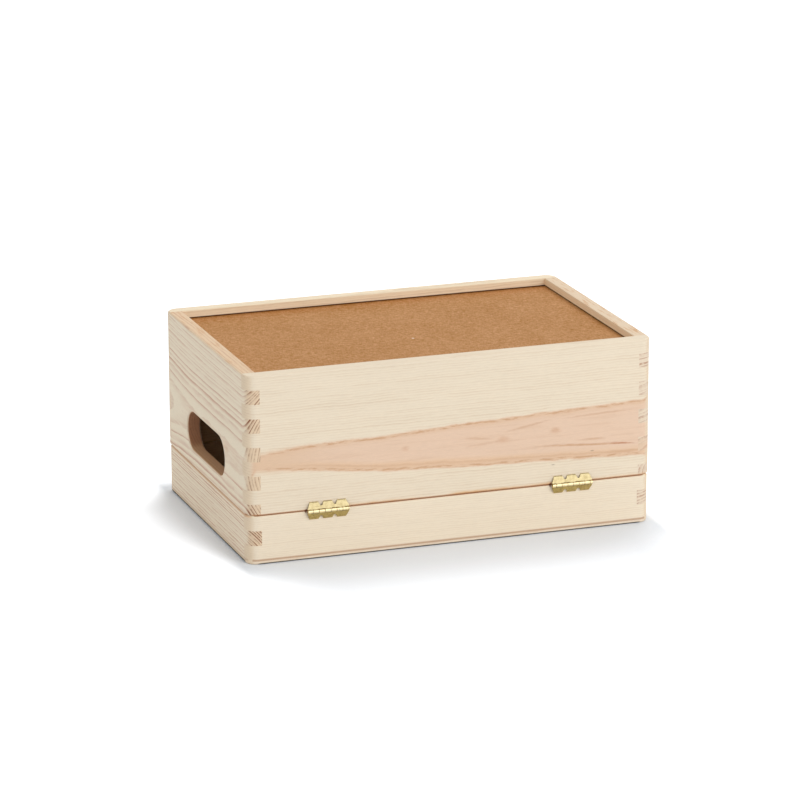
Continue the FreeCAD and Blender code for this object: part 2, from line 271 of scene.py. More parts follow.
def place_in_mm(tree):
    """X, Y and Z of the point on the part at rest, in millimetres."""
    coordinates = tree.node("ShaderNodeTexCoord")
    return tree.separate(tree.scaled(coordinates.outputs["Object"], 1 / MM))


# ---------------------------------------------------------------------------------------------
# Pine: what a board is like


@dataclass
class Heart:
    """Where the pinkish heartwood of a board lies: a cylinder round the board's own pith."""
    pith: tuple
    lean: float                             # drift of the pith for each mm along the board
    radius: float
    rise: tuple                             # place, height and half length of a hump in it


@dataclass
class StrongRings:
    """Some rings that stand out from the others."""
    radius: float                           # of one of them
    period: float                           # distance from one to the next
    lowest: float                           # least and greatest radius at which they stand out
    highest: float
    strength: float


@dataclass
class Timber:
    """How one board was cut from its log, and what its wood is like.

    The growth rings are cylinders round the pith, which runs along the board. The pith's place is
    given across the board: first in Y (or X, for a board that runs along Y), then in Z.
    """
    along: str
    pith: tuple
    lean: tuple = (0.0, 0.0)                # drift of the pith for each mm along the board
    ring: float = 1.8                       # width of a growth ring
    seed: float = 0.0
    wander: float = 0.8                     # how far the rings stray from true cylinders
    uneven: float = 0.5                     # how much the rings differ in width
    swell: tuple = (0.0, 0.0, 1.0)          # place along the board, depth and spread of a bulge
    sway: float = 1.0                       # long irregularities of the rings, along the board
    shiver: float = 0.7                     # short ones
    pale: tuple = (244, 228, 203)
    late: tuple = (220, 193, 161)
    strength: float = 1.0                   # of the rings' contrast
    strong_rings: StrongRings = None
    end_pale: tuple = (230, 212, 187)
    end_late: tuple = (140, 92, 64)
    end_strength: float = 1.0
    rim: tuple = (255, 255, 255)            # tint of the rim round the bottom
    rim_figure: float = 0.0                 # of the darker streaks on that rim
    heart: Heart = None
    marks: list = field(default_factory=list)


@dataclass
class Pattern:
    """A cloudy pattern in the wood.

    Its fineness is given along the board, across it and upwards, or along the board and upwards.
    """
    fineness: tuple
    detail: float
    roughness: float
    seed: float = 0.0                       # added to the board's own


@dataclass
class Point:
    """A point on the surface of a board at rest, as node outputs, in millimetres."""
    x: bpy.types.NodeSocket
    y: bpy.types.NodeSocket
    z: bpy.types.NodeSocket
    run: bpy.types.NodeSocket               # along the board, and so X or Y
    across: bpy.types.NodeSocket            # the other of the two
    depth: bpy.types.NodeSocket             # inward from the nearest outer face of the box
    end_share: bpy.types.NodeSocket         # 1 where the surface cuts across the grain
    up_share: bpy.types.NodeSocket          # 1 where the surface faces up


END_GRAIN = (0.25, 0.75)                    # fades by the parts of the normal
FACING_UP = (0.3, 0.9)


def board_point(tree, along):
    """The shaded point of a board that runs along X or Y."""
    x, y, z = place_in_mm(tree)
    normal_x, normal_y, normal_z = tree.separate(
        tree.node("ShaderNodeTexCoord").outputs["Normal"])
    run, across, run_normal = (x, y, normal_x) if along == "X" else (y, x, normal_y)
    depths = [tree.subtract(half, tree.absolute(value))
              for value, half in zip((x, y), BOX_HALF)]
    return Point(x, y, z, run, across, tree.least(*depths),
                 tree.steps(tree.absolute(run_normal), *END_GRAIN),
                 tree.steps(normal_z, *FACING_UP))


def wood_noise(tree, timber, point, pattern):
    """One of the wood's patterns, as a value from 0 to 1."""
    places = (point.run, point.across, point.z)
    if len(pattern.fineness) == 2:
        places = (point.run, point.z)
    vector = tree.stretched(places, pattern.fineness)
    return tree.noise(pattern.detail, pattern.roughness, vector, timber.seed + pattern.seed)


# ---------------------------------------------------------------------------------------------
# Pine: growth rings


BEND_ACROSS = Pattern((0.008, 0.03, 0.03), 1.0, 0.4)
BEND_UP = Pattern((0.008, 0.03, 0.03), 1.0, 0.4, 7.3)
SWAY = Pattern((0.028, 0.06, 0.06), 2.0, 0.5, 9.4)
SHIVER = Pattern((0.09, 0.15, 0.15), 3.0, 0.6, 3.1)
UNEVEN_FINENESS = 0.3                       # of the rings' widths, along the radius
UNEVEN_SEED = 13                            # times the board's own

# A ring darkens slowly outwards and ends sharply: share of its width, and how dark it is there
RING_PROFILE = [(0.0, 0.0), (0.3, 0.05), (0.62, 0.45), (0.84, 1.0), (0.94, 0.85), (1.0, 0.0)]
RING_SEED = 31                              # of each ring's own weight, times the board's own
RING_WEIGHT = (0.4, 1.0)                    # least and most
BREAKS = Pattern((0.045, 0.4, 0.4), 2.0, 0.55, 14.0)
BREAKS_FADE = (0.36, 0.6)
BREAKS_WEIGHT = (0.4, 1.1)                  # where a ring's line breaks up and where it is whole
STRONG_BLEND = 0.8                          # distance over which the strong rings set in


def from_pith(tree, timber, point):
    """Distance from the pith, in a log that isn't quite round or straight."""
    place, depth, spread = timber.swell
    from_swell = tree.multiply(tree.subtract(point.run, place), 1 / spread)
    bulge = tree.multiply(
        tree.math("EXPONENT", tree.multiply(from_swell, from_swell, -0.5)), depth)
    side_bend = tree.swing(wood_noise(tree, timber, point, BEND_ACROSS), timber.wander * 2)
    up_bend = tree.swing(wood_noise(tree, timber, point, BEND_UP), timber.wander * 2)
    side = tree.subtract(point.across, tree.line(timber.pith[0], timber.lean[0], point.run))
    up = tree.subtract(point.z, tree.line(timber.pith[1], timber.lean[1], point.run))
    return tree.length(tree.add(side, bulge, side_bend), tree.add(up, up_bend))


def ring_count(tree, timber, point, radius):
    """Number of rings out from the pith, with its fraction. The rings sway and shiver."""
    along_radius = tree.multiply(tree.add(radius, timber.seed * UNEVEN_SEED), UNEVEN_FINENESS)
    uneven = tree.noise(detail=1.0, roughness=0.5, w=along_radius)
    sway = wood_noise(tree, timber, point, SWAY)
    shiver = wood_noise(tree, timber, point, SHIVER)
    return tree.add(tree.multiply(radius, 1 / timber.ring),
                    tree.multiply(uneven, timber.uneven * 2),
                    tree.multiply(sway, timber.sway), tree.multiply(shiver, timber.shiver))


def ring_weight(tree, timber, point, radius, count):
    """How strongly a ring is drawn. Each has its own weight, and its line comes and goes."""
    own = tree.node("ShaderNodeTexWhiteNoise", {"noise_dimensions": "1D"}, {
        "W": tree.add(tree.math("FLOOR", count), timber.seed * RING_SEED)}).outputs["Value"]
    whole = tree.steps(wood_noise(tree, timber, point, BREAKS), *BREAKS_FADE)
    weight = tree.multiply(tree.spread(own, *RING_WEIGHT), tree.spread(whole, *BREAKS_WEIGHT))
    strong = timber.strong_rings
    if not strong:
        return weight
    phase = tree.multiply(tree.subtract(radius, strong.radius), 2 * math.pi / strong.period)
    peak = tree.steps(tree.math("COSINE", phase), 0.0, 1.0)
    among_them = tree.window(radius, (strong.lowest - STRONG_BLEND, strong.lowest),
                             (strong.highest + STRONG_BLEND, strong.highest))
    return tree.add(weight, tree.multiply(peak, among_them, strong.strength))


def growth_rings(tree, timber, point):
    """How much of the late, darker wood of a growth ring there is at a place."""
    radius = from_pith(tree, timber, point)
    count = ring_count(tree, timber, point, radius)
    late = tree.ramp(tree.math("FRACT", count), RING_PROFILE)
    return tree.multiply(late, ring_weight(tree, timber, point, radius, count))


# ---------------------------------------------------------------------------------------------
# Pine: heartwood


HEART_PINK = (238, 205, 178)
HEART_TIP = (231, 192, 158)
HEART_BORDER = (233, 198, 166)
HEART_DASH = (213, 169, 133)
HEART_OCHRE = (236, 198, 160)
STREAK = (219, 178, 144)

HEART_EDGE = Pattern((0.05, 0.1), 5.0, 0.72, 2.0)
HEART_EDGE_WIDTH = 4.5                      # how far the ragged edge swings
STREAKS = Pattern((0.02, 0.4), 3.0, 0.6, 4.0)
STREAK_FADE = (0.46, 0.74)
STREAK_SHARE = 0.4
PATCHY = Pattern((0.05, 0.0, 0.05), 2.0, 0.5, 6.0)
DASHES = Pattern((0.12, 0.7), 3.0, 0.6, 8.0)
DASH_FADE = (0.42, 0.58)

# Fades by half the heart's height: it is small where it breaks out of the board's face
BROAD_HEART = (5.5, 11.0)
BORDERED_HEART = (4.0, 8.0)
EDGE_STEEPNESS = (0.4, 1.0)                 # where the heart is small and where it is broad
HEART_SHARE = (0.8, 0.94)                   # how strongly it is painted, likewise

# Fades, windows and lines by the depth inside the heart's edge. A line has a middle and a half
# width. The ochre and the second line lie along the heart's lower edge only.
HEART_INSIDE = (-1.7, 0.9)
BORDER_WINDOW = ((-0.7, 0.4), (4.0, 0.9))
BORDER_SHARE = (0.1, 2.0)
DASH_LINE = (0.9, 1.5)
OCHRE_WINDOW = ((-0.4, 0.6), (8.0, 2.5))
OCHRE_SHARE = (0.3, 1.2)
SECOND_LINE = (3.4, 1.4)
SECOND_SHARE = 0.5
LOWER_HALF = (0.0, -4.0)                    # by the height over the heart's middle
LOWER_RUN = (-140.0, -80.0)                 # where they begin, along the board


def heart_depth(tree, timber, point):
    """Depth inside the heart's ragged edge, half the heart's height, and height over its middle."""
    heart = timber.heart
    side = tree.subtract(point.across, tree.line(heart.pith[0], heart.lean, point.run))
    half_squared = tree.subtract(heart.radius ** 2, tree.multiply(side, side))
    half = tree.math("SQRT", tree.greatest(half_squared, 0.0))
    place, height, half_length = heart.rise
    rise = tree.multiply(tree.hump(point.run, place, half_length), height)
    up = tree.subtract(point.z, tree.add(rise, heart.pith[1]))
    ragged = tree.swing(wood_noise(tree, timber, point, HEART_EDGE), HEART_EDGE_WIDTH)
    return tree.add(tree.subtract(half, tree.absolute(up)), ragged), half, up


def heartwood(tree, colour, timber, point):
    """Tints the wood inside the heart, and draws its resinous border, broader and ochre below."""
    depth, half, up = heart_depth(tree, timber, point)
    broad = tree.steps(half, *BROAD_HEART)
    bordered = tree.steps(half, *BORDERED_HEART)
    below = tree.multiply(tree.steps(up, *LOWER_HALF), tree.steps(point.run, *LOWER_RUN))

    streaks = wood_noise(tree, timber, point, STREAKS)
    streaked = tree.multiply(tree.steps(streaks, *STREAK_FADE), STREAK_SHARE)
    pink = tree.mix(streaked, linear(HEART_PINK), linear(STREAK))
    pink = tree.mix(broad, linear(HEART_TIP), pink)
    soft_depth = tree.multiply(depth, tree.spread(broad, *EDGE_STEEPNESS))
    inside = tree.multiply(tree.steps(soft_depth, *HEART_INSIDE), tree.spread(broad, *HEART_SHARE))
    colour = tree.mix(inside, colour, pink)

    ochre = tree.multiply(tree.window(depth, *OCHRE_WINDOW), below,
                          tree.spread(streaks, *OCHRE_SHARE))
    colour = tree.paint(tree.least(ochre, 1.0), colour, HEART_OCHRE)
    patchy = tree.spread(wood_noise(tree, timber, point, PATCHY), *BORDER_SHARE)
    border = tree.multiply(tree.window(depth, *BORDER_WINDOW), bordered, patchy)
    colour = tree.paint(tree.least(border, 1.0), colour, HEART_BORDER)
    dashes = tree.steps(wood_noise(tree, timber, point, DASHES), *DASH_FADE)
    colour = tree.paint(tree.multiply(tree.hump(depth, *DASH_LINE), dashes, bordered), colour,
                        HEART_DASH)
    second = tree.multiply(tree.hump(depth, *SECOND_LINE), below, SECOND_SHARE)
    return tree.paint(second, colour, STREAK)


# ---------------------------------------------------------------------------------------------
# Pine: knots, flecks and streaks


KNOT = (214, 164, 126)
FLECK = (120, 92, 70)
RESIN = (196, 132, 98)

MARK_FINENESS = (0.2, 0.9)                  # of a mark's ragged outline, along the board and up
MARK_RAGGED = 1.1
MARK_FADE = (1.0, 0.1)                      # by the distance from its middle, in its half sizes


@dataclass
class Mark:
    """A small dark place in the wood: an oval or a streak, longer along the grain."""
    run: float                              # of its middle, along the board
    z: float
    half_length: float
    half_height: float
    colour: tuple
    strength: float
    slope: float = 0.0                      # rise for each mm along the board

    def paint(self, tree, colour, point):
        from_middle = tree.subtract(point.run, self.run)
        along = tree.multiply(from_middle, 1 / self.half_length)
        level = tree.line(self.z, self.slope, from_middle)
        up = tree.multiply(tree.subtract(point.z, level), 1 / self.half_height)
        place = tree.stretched((point.run, point.z), MARK_FINENESS)
        ragged = tree.noise(detail=3.0, roughness=0.6, vector=place)
        distance = tree.add(tree.length(along, up), tree.swing(ragged, MARK_RAGGED))
        share = tree.multiply(tree.steps(distance, *MARK_FADE), self.strength)
        return tree.paint(share, colour, self.colour)


HINGE_WALL_MARKS = [
    Mark(-34.4, 72.9, 4.2, 2.6, KNOT, 0.35),
    Mark(38.0, 72.2, 8.0, 3.4, KNOT, 0.4),
    Mark(77.0, 75.0, 6.0, 3.2, KNOT, 0.5),
    Mark(105.0, 57.3, 2.2, 0.7, FLECK, 0.5),
    Mark(75.6, 49.9, 2.4, 0.6, FLECK, 0.5),
    Mark(98.0, 62.4, 46.0, 1.3, HEART_DASH, 0.9, -0.065),
    Mark(126.0, 60.9, 16.0, 1.0, RESIN, 0.8, -0.09),
    Mark(105.0, 66.0, 15.0, 1.3, STREAK, 0.75, -0.02),
    Mark(112.0, 84.2, 40.0, 1.2, STREAK, 0.7, 0.035),
    Mark(56.0, 80.2, 24.0, 1.4, STREAK, 0.65, 0.17),
    Mark(20.0, 74.6, 16.0, 1.2, STREAK, 0.6, -0.12),
    Mark(22.0, 70.4, 18.0, 1.1, STREAK, 0.45, 0.06),
    Mark(128.0, 54.5, 18.0, 1.6, STREAK, 0.7, -0.02),
]


# ---------------------------------------------------------------------------------------------
# Pine: seam, rims, grooves, slots and edges, with painted shade and highlights


HINGE_SIDE = (0.0, -1.0)                    # the box's half with the hinges, in Y
AT_OUTSIDE = (1.9, 1.2)                     # depths within which an outer edge is painted
INNER_SHADE = (237, 225, 211)                # painted shade on the faces inside the shut box
INNER_DEPTH = WALL - 0.1
INNER_FADE = (0.0, 0.1)

RIM_TOP = (BOX_TOP - 1.5, BOX_TOP - 1.0)    # the rim round the bottom, in Z
RIM_STREAKS = Pattern((0.05, 0.4, 0.0), 3.0, 0.6, 21.0)
RIM_STREAK_FADE = (0.5, 0.68)
RIM_FIGURE = (238, 214, 190)

SEAM_BAND_SHADE = (228, 184, 134)                 # painted warm shade in a patchy band over the seam
BAND_START = (-82.0, -74.0)                 # in X, right of the left hinge
BAND_HEIGHT = (SEAM_TOP + 3.0, SEAM_TOP + 1.2)
BAND_FINENESS = 0.02                        # of its patches
BAND_FADE = (0.3, 0.75)

SEAM_GAP_SHADE = (184, 112, 60)                  # painted shade in the seam's gap, on the box's edge and on the lid's
BOX_SEAM = (SEAM_TOP + 1.5, SEAM_TOP + 0.5)
BOX_SEAM_SHARE = 0.75
LID_SEAM = (LID_TOP - 0.35, LID_TOP - 0.1)
LID_SEAM_SHARE = 0.85

SEAM_SHADE = (134, 70, 38)                  # painted shadow at the seam's end by a hinge
SHADE_DEPTH = (2.4, 1.8)
SHADE_HALF = (1.1, 2.2)                     # half its length and height
SHADE_FADE = (1.0, 0.4)
SHADE_SHARE = 0.85

GROOVE_SHADE = (92, 48, 18)                  # painted shade in the groove round the hardboard
GROOVE_DEPTH = (4.0, 5.0)
GROOVE_WINDOW = ((PANEL_UNDER, PANEL_UNDER + 0.2), (PANEL_UNDER + 4.2, PANEL_UNDER + 3.7))  # in Z

SLOT_SIDE = (217, 184, 158)                 # tints of a slot's walls, along and across the grain
SLOT_END = (190, 150, 128)
# painted highlight on the slots' bevels
SLOT_BEVEL_HIGHLIGHT = (250, 234, 208)
END_WALL = (11.9, 10.9)                     # by the depth from the box's ends
SLOT_BEVEL_FADE = (1.3, 1.0)                # by the distance outside the slot's outline
SLOT_BEVEL_SHARE = 0.5
SLOT_WALL_FADE = (0.5, 0.15)                # likewise

BEVEL_HIGHLIGHT = (255, 244, 217)                # painted highlight on the lid's bevel at the seam
BEVEL_END_SHADE = (236, 202, 164)                 # painted warm shade on the same bevel at the lid's ends
LID_ENDS = (BOX_HALF[0] - 5.0, BOX_HALF[0] - 2.0)
BEVEL_HEIGHT = (LID_TOP - 1.4, LID_TOP - 0.9)
BEVEL_DEPTH = (4.0, 2.2)
BEVEL_SHARE = 0.9

GLUE_LINE = (188, 146, 114)                 # between the lid's frame and its board
GLUE_HEIGHT = (LID_BOARD + 0.1, 1.3)        # middle and half width
GLUE_SHARE = (0.85, 0.4)                    # on the long sides and at the ends

CONTACT_SHADOW = (62, 54, 48)                    # painted contact shadow on the edges that the lid lies on
CONTACT_SHADOW_TOP = (1.2, 2.0)                       # on the long sides and at the ends
CONTACT_SHADOW_FADE = (0.0, -0.5)
CONTACT_SHADOW_STRAIGHT = (1.5, -1.5)                 # it stops at the rounded corners
CONTACT_SHADOW_SHARE = 0.93


def rim_tint(tree, colour, timber, point):
    """Tints the rim round the box's bottom, and draws darker streaks on it."""
    on_rim = tree.multiply(point.up_share, tree.steps(point.z, *RIM_TOP))
    colour = tree.tint(on_rim, colour, timber.rim)
    streaks = tree.steps(wood_noise(tree, timber, point, RIM_STREAKS), *RIM_STREAK_FADE)
    return tree.tint(tree.multiply(streaks, on_rim, timber.rim_figure), colour, RIM_FIGURE)


def inner_shade(tree, colour, point):
    """Tints the faces inside the shut box darker and warmer, as painted shade."""
    inward = tree.least(tree.subtract(point.depth, INNER_DEPTH),
                        tree.subtract(PANEL_UNDER, point.z))
    return tree.tint(tree.steps(inward, *INNER_FADE), colour, INNER_SHADE)


def hinge_shade(tree, colour, point):
    """Paints shadow at the seam by the left end of each hinge."""
    strength = tree.multiply(tree.steps(point.y, *HINGE_SIDE),
                             tree.steps(point.depth, *SHADE_DEPTH), SHADE_SHARE)
    for end in HINGE_ENDS:
        from_end = tree.length(tree.multiply(tree.subtract(point.x, end), 1 / SHADE_HALF[0]),
                               tree.multiply(tree.subtract(point.z, SEAM_TOP), 1 / SHADE_HALF[1]))
        share = tree.multiply(tree.steps(from_end, *SHADE_FADE), strength)
        colour = tree.paint(share, colour, SEAM_SHADE)
    return colour


def slot_walls(tree, colour, point):
    """Paints a highlight on the bevels of the handle slots, and darkens the slots' walls."""
    end_depth = tree.subtract(BOX_HALF[0], tree.absolute(point.x))
    in_end_wall = tree.steps(end_depth, *END_WALL)
    straight = (SLOT_LENGTH - SLOT_HEIGHT) / 2
    beyond = tree.greatest(tree.subtract(tree.absolute(point.y), straight), 0.0)
    from_middle = tree.length(beyond, tree.subtract(point.z, SLOT_MIDDLE))
    outside_slot = tree.subtract(from_middle, SLOT_HEIGHT / 2)
    on_bevel = tree.multiply(
        tree.steps(outside_slot, *SLOT_BEVEL_FADE), in_end_wall, SLOT_BEVEL_SHARE)
    colour = tree.paint(on_bevel, colour, SLOT_BEVEL_HIGHLIGHT)
    on_wall = tree.multiply(tree.steps(outside_slot, *SLOT_WALL_FADE), in_end_wall)
    tint = tree.mix(point.end_share, linear(SLOT_SIDE), linear(SLOT_END))
    return tree.mix(on_wall, colour, tree.mix(1.0, colour, tint, "MULTIPLY"))


def box_edges(tree, colour, point):
    """Paints shade on the box's rounded rim at the seam, in the seam's gap, by the hinges and in the
    bottom's grooves, and colours the handle slots with a painted highlight on their bevels.
    """
    at_outside = tree.steps(point.depth, *AT_OUTSIDE)
    along_seam = tree.multiply(point.x, BAND_FINENESS)
    patches = tree.noise(detail=3.0, roughness=0.6, w=along_seam)
    # painted warm shade over the seam, right of the left hinge
    band = tree.multiply(tree.steps(point.z, *BAND_HEIGHT), tree.steps(point.x, *BAND_START),
                         tree.steps(point.y, *HINGE_SIDE), tree.steps(patches, *BAND_FADE),
                         at_outside)
    colour = tree.paint(band, colour, SEAM_BAND_SHADE)
    # painted shade in the groove round the hardboard
    in_groove = tree.multiply(tree.steps(point.depth, *GROOVE_DEPTH),
                              tree.window(point.z, *GROOVE_WINDOW))
    colour = tree.paint(in_groove, colour, GROOVE_SHADE)
    # painted shade on the box's rounded edge at the seam's gap
    at_seam = tree.multiply(tree.steps(point.z, *BOX_SEAM), at_outside, BOX_SEAM_SHARE)
    colour = tree.paint(at_seam, colour, SEAM_GAP_SHADE)
    colour = hinge_shade(tree, colour, point)
    return slot_walls(tree, colour, point)


def lid_edges(tree, colour, point):
    """Paints a highlight on the lid's bevel at the seam, warm shade at its ends and shade in the
    seam's gap and by the hinges, and draws its glue line and a painted contact shadow on its lowest
    edge.
    """
    at_outside = tree.steps(point.depth, *AT_OUTSIDE)
    at_end = tree.steps(tree.absolute(point.x), *LID_ENDS)
    bevel = tree.multiply(tree.steps(point.z, *BEVEL_HEIGHT),
                          tree.steps(point.depth, *BEVEL_DEPTH), BEVEL_SHARE)
    bevel_colour = tree.mix(at_end, linear(BEVEL_HIGHLIGHT), linear(BEVEL_END_SHADE))
    colour = tree.mix(bevel, colour, bevel_colour)
    # painted shadow in the seam's gap, on the lid's top edge
    at_seam = tree.multiply(tree.steps(point.z, *LID_SEAM), at_outside, LID_SEAM_SHARE)
    colour = tree.paint(at_seam, colour, SEAM_GAP_SHADE)
    colour = hinge_shade(tree, colour, point)
    glue = tree.multiply(tree.hump(point.z, *GLUE_HEIGHT), at_outside,
                         tree.spread(at_end, *GLUE_SHARE))
    colour = tree.paint(glue, colour, GLUE_LINE)
    # painted contact shadow along the lowest edge, stopping at the rounded corners
    into_corner = [tree.subtract(tree.absolute(value), half - CORNER_RADIUS)
                   for value, half in zip((point.x, point.y), BOX_HALF)]
    straight = tree.steps(tree.least(*into_corner), *CONTACT_SHADOW_STRAIGHT)
    over_contact_shadow = tree.subtract(point.z, tree.spread(at_end, *CONTACT_SHADOW_TOP))
    contact_shadow = tree.multiply(tree.steps(over_contact_shadow, *CONTACT_SHADOW_FADE), straight, at_outside, CONTACT_SHADOW_SHARE)
    return tree.paint(contact_shadow, colour, CONTACT_SHADOW)


# ---------------------------------------------------------------------------------------------
# Pine: the material and the boards


PINE_FINISH = Finish(roughness=(0.62, 0.78), relief=0.22, relief_depth=0.1, specular=0.25)
FIBRES = Pattern((0.22, 1.7, 1.7), 3.0, 0.65, 11.0)
FIBRE_CONTRAST = 0.19
PATCHES = Pattern((0.012, 0.06, 0.06), 3.0, 0.55, 5.0)
PATCH_CONTRAST = 0.08
FACE_LATE = 0.62                            # contrast of the rings on a face
END_LATE = 0.95                             # and on end grain
RING_RELIEF = 0.35
FIBRE_RELIEF = 0.5


def late_wood(tree, late, contrast, pale_shade, late_shade):
    """The pale wood of a board, darkened where it is late wood."""
    share = tree.least(tree.multiply(late, contrast), 1.0)
    return tree.mix(share, linear(pale_shade), linear(late_shade))


def pine(name, timber):
    """A pine material with rings, fibres, end grain and, where the board has it, heartwood."""
    material, tree, shader = new_material(name)
    point = board_point(tree, timber.along)
    late = growth_rings(tree, timber, point)
    colour = late_wood(tree, late, FACE_LATE * timber.strength, timber.pale, timber.late)
    if timber.heart:
        colour = heartwood(tree, colour, timber, point)
    end_colour = late_wood(tree, late, END_LATE * timber.end_strength, timber.end_pale,
                           timber.end_late)
    colour = tree.mix(point.end_share, colour, end_colour)
    for mark in timber.marks:
        colour = mark.paint(tree, colour, point)
    colour = rim_tint(tree, colour, timber, point)
    # the edges get painted shade and highlights, and the faces inside painted shade
    paint_edges = box_edges if name.startswith("box_") else lid_edges
    colour = inner_shade(tree, paint_edges(tree, colour, point), point)
    fibres = wood_noise(tree, timber, point, FIBRES)
    patches = wood_noise(tree, timber, point, PATCHES)
    colour = tree.scaled(colour, tree.add(1.0, tree.swing(fibres, FIBRE_CONTRAST),
                                          tree.swing(patches, PATCH_CONTRAST)))
    relief = tree.add(tree.multiply(late, RING_RELIEF), tree.multiply(fibres, FIBRE_RELIEF))
    apply_finish(tree, shader, PINE_FINISH, colour, fibres, relief)
    return material


PALE_END = {"end_pale": (240, 218, 188), "end_late": (190, 154, 126), "end_strength": 0.22}
# The left end's boards are paler than the rest: a painted lift that stands in for light on that
# shaded end.
LEFT_END = {"pale": (251, 235, 208), "end_pale": (237, 211, 179), "end_late": (142, 88, 58),
            "end_strength": 1.25}
RIGHT_END = {"late": (220, 178, 138), "end_pale": (240, 221, 196), "end_late": (176, 120, 88)}

TIMBERS = {
    "box_hinge_wall": Timber(
        "X", (-50.0, -150.0), ring=1.87, seed=1.0, uneven=0.35, strength=0.8,
        heart=Heart(pith=(-70.95, 71.0), lean=-0.025, radius=30.0, rise=(-115.0, 2.5, 75.0)),
        marks=HINGE_WALL_MARKS, **PALE_END),
    # The far wall is paler and warmer than the hinge wall: a painted lift that stands in for warm
    # light bounced off the hardboard onto its inner face.
    "box_front_wall": Timber("X", (40.0, -160.0), (0.02, 0.01), ring=1.9, seed=2.0,
                             pale=(252, 234, 204), **PALE_END),
    "box_left_wall": Timber(
        "Y", (-90.0, 70.0), ring=1.95, seed=3.0, wander=0.4, sway=0.4, shiver=0.35,
        swell=(110.0, 2.5, 35.0), late=(218, 179, 152), strength=1.3,
        strong_rings=StrongRings(radius=62.2, period=3.9, lowest=62.5, highest=71.5,
                                 strength=0.75),
        rim=(243, 229, 217), rim_figure=0.7,
        marks=[Mark(-49.0, 71.6, 10.0, 3.2, STREAK, 0.5)], **LEFT_END),
    "box_right_wall": Timber(
        "Y", (152.0, 37.0), (0.01, 0.0), ring=3.2, seed=4.0, uneven=0.8, pale=(249, 228, 194),
        end_strength=0.75, rim=(245, 242, 246), rim_figure=1.0,
        marks=[Mark(-97.0, 57.0, 14.0, 9.0, HEART_TIP, 0.6)], **RIGHT_END),
    "lid_hinge_rail": Timber("X", (-60.0, -240.0), (0.0, -0.01), ring=1.5, seed=5.0,
                             strength=0.6, pale=(247, 231, 206), **PALE_END),
    "lid_front_rail": Timber("X", (60.0, -40.0), (0.0, 0.02), ring=1.5, seed=6.0, strength=0.7,
                             **PALE_END),
    "lid_left_rail": Timber(
        "Y", (-182.0, -18.0), ring=1.6, seed=7.0, sway=0.5, shiver=0.4, late=(214, 174, 146),
        strength=1.4,
        strong_rings=StrongRings(radius=54.4, period=2.55, lowest=53.0, highest=61.0,
                                 strength=0.8),
        **LEFT_END),
    "lid_right_rail": Timber("Y", (152.0, -30.0), (0.0, 0.01), ring=2.4, seed=8.0,
                             pale=(249, 229, 197), **RIGHT_END),
    "lid_panel": Timber("X", (20.0, 60.0), (0.02, 0.03), ring=1.8, seed=9.0,
                        pale=(246, 228, 204), late=(224, 196, 166), **PALE_END),
}


# ---------------------------------------------------------------------------------------------
# Hardboard


HARDBOARD = (188, 134, 79)
HARDBOARD_EDGE = (180, 118, 64)             # along the opening side, in the wall's shade
EDGE_FADE = (66.0, 86.0)                    # in Y
EDGE_SHARE = 0.6
HARDBOARD_FINISH = Finish(roughness=(0.5, 0.75), relief=0.3, relief_depth=0.1, specular=0.15)

CLOUD_FINENESS = 0.035
SPECK_FINENESS = 0.42
FIBRE_FINENESS = (0.22, 0.95, 1.0)
FIBRE_LAYERS = ((0.3, 0.0), (1.3, 4.0), (2.4, 8.0))     # direction in radians, and seed
CLOUD_WEIGHT = 0.3
SPECK_WEIGHT = 0.85
FIBRE_WEIGHT = 1.9
MOTTLE_SCALE = 0.48                         # how much the mottle changes the colour
MOTTLE_GREY = 0.17                          # and how much it adds of grey

CHIP = (236, 224, 208)                      # a pale chip pressed into the face
CHIP_PLACE = (-1.2, -19.1)
CHIP_FADE = (1.3, 0.5)
CHIP_HEIGHT = (PANEL_UNDER + 1.0, PANEL_UNDER + 2.0)


def pressed_fibres(tree, x, y, z):
    """Short fibres that lie in a few directions."""
    layers = []
    for turn, seed in FIBRE_LAYERS:
        along = tree.add(tree.multiply(x, math.cos(turn)), tree.multiply(y, math.sin(turn)))
        across = tree.add(tree.multiply(x, -math.sin(turn)), tree.multiply(y, math.cos(turn)))
        place = tree.stretched((along, across, z), FIBRE_FINENESS)
        layers.append(tree.noise(detail=2.0, roughness=0.6, vector=place, w=seed))
    return tree.multiply(tree.add(*layers), 1 / len(layers))


def hardboard(name):
    """Smooth brown hardboard: clouded, with short pale and dark fibres pressed into it."""
    material, tree, shader = new_material(name)
    x, y, z = place_in_mm(tree)
    place = tree.vector(x, y, z)
    clouds = tree.noise(detail=4.0, roughness=0.55, vector=place, scale=CLOUD_FINENESS)
    specks = tree.noise(detail=3.0, roughness=0.7, vector=place, scale=SPECK_FINENESS)
    fibres = pressed_fibres(tree, x, y, z)
    mottle = tree.add(tree.swing(clouds, CLOUD_WEIGHT), tree.swing(specks, SPECK_WEIGHT),
                      tree.swing(fibres, FIBRE_WEIGHT))
    near_wall = tree.multiply(tree.steps(y, *EDGE_FADE), EDGE_SHARE)
    colour = tree.mix(near_wall, linear(HARDBOARD), linear(HARDBOARD_EDGE))
    colour = tree.scaled(colour, tree.line(1.0, MOTTLE_SCALE, mottle))
    grey = tree.scaled((1.0, 1.0, 1.0), tree.multiply(mottle, MOTTLE_GREY))
    colour = tree.mix(1.0, colour, grey, "ADD")
    from_chip = tree.length(tree.subtract(x, CHIP_PLACE[0]), tree.subtract(y, CHIP_PLACE[1]))
    on_chip = tree.multiply(tree.steps(from_chip, *CHIP_FADE), tree.steps(z, *CHIP_HEIGHT))
    colour = tree.paint(on_chip, colour, CHIP)
    apply_finish(tree, shader, HARDBOARD_FINISH, colour, specks, tree.add(specks, fibres))
    return material


# ---------------------------------------------------------------------------------------------
# Brass


